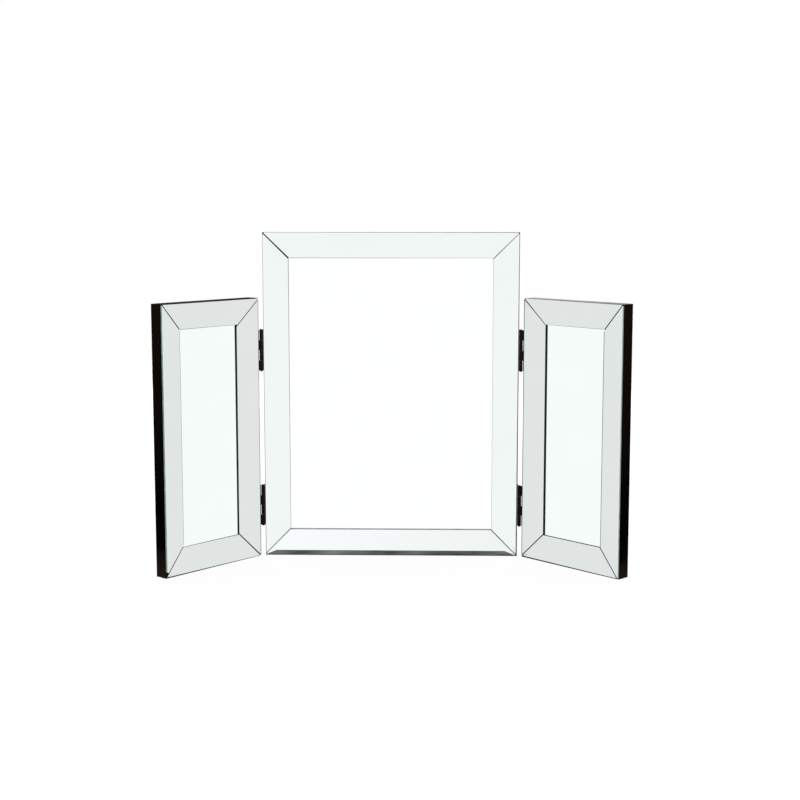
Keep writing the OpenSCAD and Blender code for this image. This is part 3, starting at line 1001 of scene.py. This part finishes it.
def screw_tree():
    """Geometry nodes: a threaded, cross-recessed screw at each point, along its aim."""
    tree = bpy.data.node_groups.new("countersunk_screws", "GeometryNodeTree")
    tree.is_modifier = True
    tree.interface.new_socket("Places", in_out="INPUT", socket_type="NodeSocketGeometry")
    for name in SCREW_SIZES:
        tree.interface.new_socket(name, in_out="INPUT", socket_type="NodeSocketFloat")
    tree.interface.new_socket("Screws", in_out="OUTPUT", socket_type="NodeSocketGeometry")
    sizes = tree.nodes.new("NodeGroupInput")

    # A rod of radius 1 is drawn in, ring by ring, to the head's cone, the shank and the tip.
    rod = add_node(
        tree,
        "GeometryNodeMeshCylinder",
        links=[("Depth", sizes, "Length")],
        values=[("Vertices", SCREW_FACETS), ("Side Segments", SCREW_RINGS), ("Radius", 1.0)],
    )
    spot = add_node(tree, "GeometryNodeInputPosition")
    axes = add_node(tree, "ShaderNodeSeparateXYZ", links=[("Vector", spot, "Position")])
    depth = add_node(
        tree,
        "ShaderNodeMath",
        links=[(0, sizes, "Length"), (2, axes, "Z")],
        values=[(1, 0.5)],
        operation="MULTIPLY_ADD",
    )
    head_r = add_node(
        tree,
        "ShaderNodeMath",
        links=[(0, sizes, "Head Width")],
        values=[(1, 0.5)],
        operation="MULTIPLY",
    )
    shank_r = add_node(
        tree,
        "ShaderNodeMath",
        links=[(0, sizes, "Shank Width")],
        values=[(1, 0.5)],
        operation="MULTIPLY",
    )
    cone_height = add_node(
        tree,
        "ShaderNodeMath",
        links=[(0, head_r, "Value"), (1, shank_r, "Value")],
        operation="SUBTRACT",
    )
    cone_left = add_node(
        tree,
        "ShaderNodeMath",
        links=[(0, cone_height, "Value"), (1, depth, "Value")],
        operation="SUBTRACT",
    )
    cone = add_node(
        tree,
        "ShaderNodeMath",
        links=[(0, cone_left, "Value")],
        values=[(1, 0.0)],
        operation="MAXIMUM",
    )
    tip_start = add_node(
        tree,
        "ShaderNodeMath",
        links=[(0, sizes, "Length"), (1, sizes, "Tip Length")],
        operation="SUBTRACT",
    )
    point_r = add_node(
        tree,
        "ShaderNodeMath",
        links=[(0, shank_r, "Value")],
        values=[(1, POINT_SHARE)],
        operation="MULTIPLY",
    )
    shank = add_node(
        tree,
        "ShaderNodeMapRange",
        links=[
            ("Value", depth, "Value"),
            ("From Min", tip_start, "Value"),
            ("From Max", sizes, "Length"),
            ("To Min", shank_r, "Value"),
            ("To Max", point_r, "Value"),
        ],
    )
    uncut = add_node(
        tree,
        "ShaderNodeMath",
        links=[(0, cone, "Value"), (1, shank, "Result")],
        operation="ADD",
    )

    # The thread's groove winds round it once to each pitch.
    angle = add_node(
        tree,
        "ShaderNodeMath",
        links=[(0, axes, "Y"), (1, axes, "X")],
        operation="ARCTAN2",
    )
    turn = add_node(
        tree,
        "ShaderNodeMath",
        links=[(0, angle, "Value")],
        values=[(1, 2 * math.pi)],
        operation="DIVIDE",
    )
    pitches = add_node(
        tree,
        "ShaderNodeMath",
        links=[(0, depth, "Value"), (1, sizes, "Thread Pitch")],
        operation="DIVIDE",
    )
    winding = add_node(
        tree,
        "ShaderNodeMath",
        links=[(0, pitches, "Value"), (1, turn, "Value")],
        operation="SUBTRACT",
    )
    half_groove = add_node(
        tree,
        "ShaderNodeMath",
        links=[(0, winding, "Value")],
        values=[(1, 0.5)],
        operation="PINGPONG",
    )
    half_cut = add_node(
        tree,
        "ShaderNodeMath",
        links=[(0, half_groove, "Value"), (1, sizes, "Thread Depth")],
        operation="MULTIPLY",
    )
    thread_start = add_node(
        tree,
        "ShaderNodeMath",
        links=[(0, cone_height, "Value")],
        values=[(1, THREAD_START)],
        operation="MULTIPLY",
    )
    is_threaded = add_node(
        tree,
        "ShaderNodeMath",
        links=[(0, depth, "Value"), (1, thread_start, "Value")],
        operation="GREATER_THAN",
    )
    twice_where_threaded = add_node(
        tree,
        "ShaderNodeMath",
        links=[(0, is_threaded, "Value")],
        values=[(1, 2.0)],
        operation="MULTIPLY",
    )
    cut = add_node(
        tree,
        "ShaderNodeMath",
        links=[(0, half_cut, "Value"), (1, twice_where_threaded, "Value")],
        operation="MULTIPLY",
    )
    threaded = add_node(
        tree,
        "ShaderNodeMath",
        links=[(0, uncut, "Value"), (1, cut, "Value")],
        operation="SUBTRACT",
    )
    radius = add_node(
        tree,
        "ShaderNodeMath",
        links=[(0, threaded, "Value")],
        values=[(1, SCREW_CORE)],
        operation="MAXIMUM",
    )
    drawn_x = add_node(
        tree,
        "ShaderNodeMath",
        links=[(0, axes, "X"), (1, radius, "Value")],
        operation="MULTIPLY",
    )
    drawn_y = add_node(
        tree,
        "ShaderNodeMath",
        links=[(0, axes, "Y"), (1, radius, "Value")],
        operation="MULTIPLY",
    )
    drawn = add_node(
        tree,
        "ShaderNodeCombineXYZ",
        links=[("X", drawn_x, "Value"), ("Y", drawn_y, "Value"), ("Z", depth, "Value")],
    )
    blank = add_node(
        tree,
        "GeometryNodeSetPosition",
        links=[("Geometry", rod, "Mesh"), ("Position", drawn, "Vector")],
    )

    # Two crossed bars, half sunk in the head, cut its recess.
    bar_height = add_node(
        tree,
        "ShaderNodeMath",
        links=[(0, sizes, "Recess Depth")],
        values=[(1, 2.0)],
        operation="MULTIPLY",
    )
    bars = []
    for long_axis, short_axis in (("X", "Y"), ("Y", "X")):
        span = add_node(
            tree,
            "ShaderNodeCombineXYZ",
            links=[
                (long_axis, sizes, "Recess Span"),
                (short_axis, sizes, "Recess Width"),
                ("Z", bar_height, "Value"),
            ],
        )
        bars.append(add_node(tree, "GeometryNodeMeshCube", links=[("Size", span, "Vector")]))
    screw = add_node(
        tree,
        "GeometryNodeMeshBoolean",
        links=[("Mesh 1", blank, "Geometry")] + [("Mesh 2", bar, "Mesh") for bar in bars],
        operation="DIFFERENCE",
    )

    # It is set on each point along its aim, after a turn of its own.
    aim = add_node(
        tree,
        "GeometryNodeInputNamedAttribute",
        values=[("Name", "aim")],
        data_type="FLOAT_VECTOR",
    )
    along = add_node(
        tree, "FunctionNodeAlignRotationToVector", links=[("Vector", aim, "Attribute")], axis="Z"
    )
    driven = add_node(
        tree,
        "FunctionNodeRandomValue",
        values=[("Min", 0.0), ("Max", math.pi / 2), ("Seed", DRIVER_SEED)],
        data_type="FLOAT",
    )
    spin = add_node(
        tree,
        "FunctionNodeAxisAngleToRotation",
        links=[("Angle", driven, "Value")],
        values=[("Axis", (0, 0, 1))],
    )
    pose = add_node(
        tree,
        "FunctionNodeRotateRotation",
        links=[("Rotation", along, "Rotation"), ("Rotate By", spin, "Rotation")],
        rotation_space="LOCAL",
    )
    placed = add_node(
        tree,
        "GeometryNodeInstanceOnPoints",
        links=[
            ("Points", sizes, "Places"),
            ("Instance", screw, "Mesh"),
            ("Rotation", pose, "Rotation"),
        ],
    )
    real = add_node(tree, "GeometryNodeRealizeInstances", links=[("Geometry", placed, "Instances")])
    finish = add_node(
        tree,
        "GeometryNodeSetMaterial",
        links=[("Geometry", real, "Geometry")],
        values=[("Material", black_oxide)],
    )
    add_node(tree, "NodeGroupOutput", links=[("Screws", finish, "Geometry")])
    return tree


def leaf_screws(panel, edge):
    """Places and aims of a panel's screws on one edge: -1 is its left edge and 1 its right."""
    width = panel_size(panel)[0]
    place = (
        panel_place(panel)
        @ Matrix.Translation((edge * (width / 2 + KNUCKLE_R), -axis_depth, 0))
        @ Matrix.Diagonal((-edge, 1, 1, 1))
    )
    reach = axis_depth - LEAF_BACK - SCREW_EDGE
    spots = []
    for middle in HINGE_HEIGHTS.values():
        for step in (-1, 0, 1):
            height = middle + step * SCREW_STEP
            spots.append(place @ Vector((KNUCKLE_R - LEAF_T, reach, height)))
    return spots, (place.to_3x3() @ Vector((1, 0, 0))).normalized()


screws = screw_tree()
for panel, edges, node in (
    ("centre", (-1, 1), "centre_hinge_screws"),
    ("left_wing", (1,), "left_wing_hinge_screws"),
    ("right_wing", (-1,), "right_wing_hinge_screws"),
):
    spots, aims = [], []
    for edge in edges:
        found, aim = leaf_screws(panel, edge)
        spots += found
        aims += [aim] * len(found)
    points = bpy.data.meshes.new("screw_places")
    points.from_pydata(spots, [], [])
    aim_data = points.attributes.new("aim", "FLOAT_VECTOR", "POINT")
    aim_data.data.foreach_set("vector", [value for aim in aims for value in aim])
    maker = new_piece("screw_maker", points)
    modifier = maker.modifiers.new("screws", "NODES")
    modifier.node_group = screws
    for item in screws.interface.items_tree:
        if item.in_out == "INPUT" and item.name in SCREW_SIZES:
            modifier[item.identifier] = SCREW_SIZES[item.name]
    view = bpy.context.evaluated_depsgraph_get()
    mesh = bpy.data.meshes.new_from_object(maker.evaluated_get(view), depsgraph=view)
    bpy.data.objects.remove(maker)
    mesh.shade_smooth()
    mesh.set_sharp_from_angle(angle=SCREW_SHARP)
    piece = new_piece(f"{node}_set", mesh)
    out_of_reflections(piece)
    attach(piece, PANELS[panel]["body"])
    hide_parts(node)
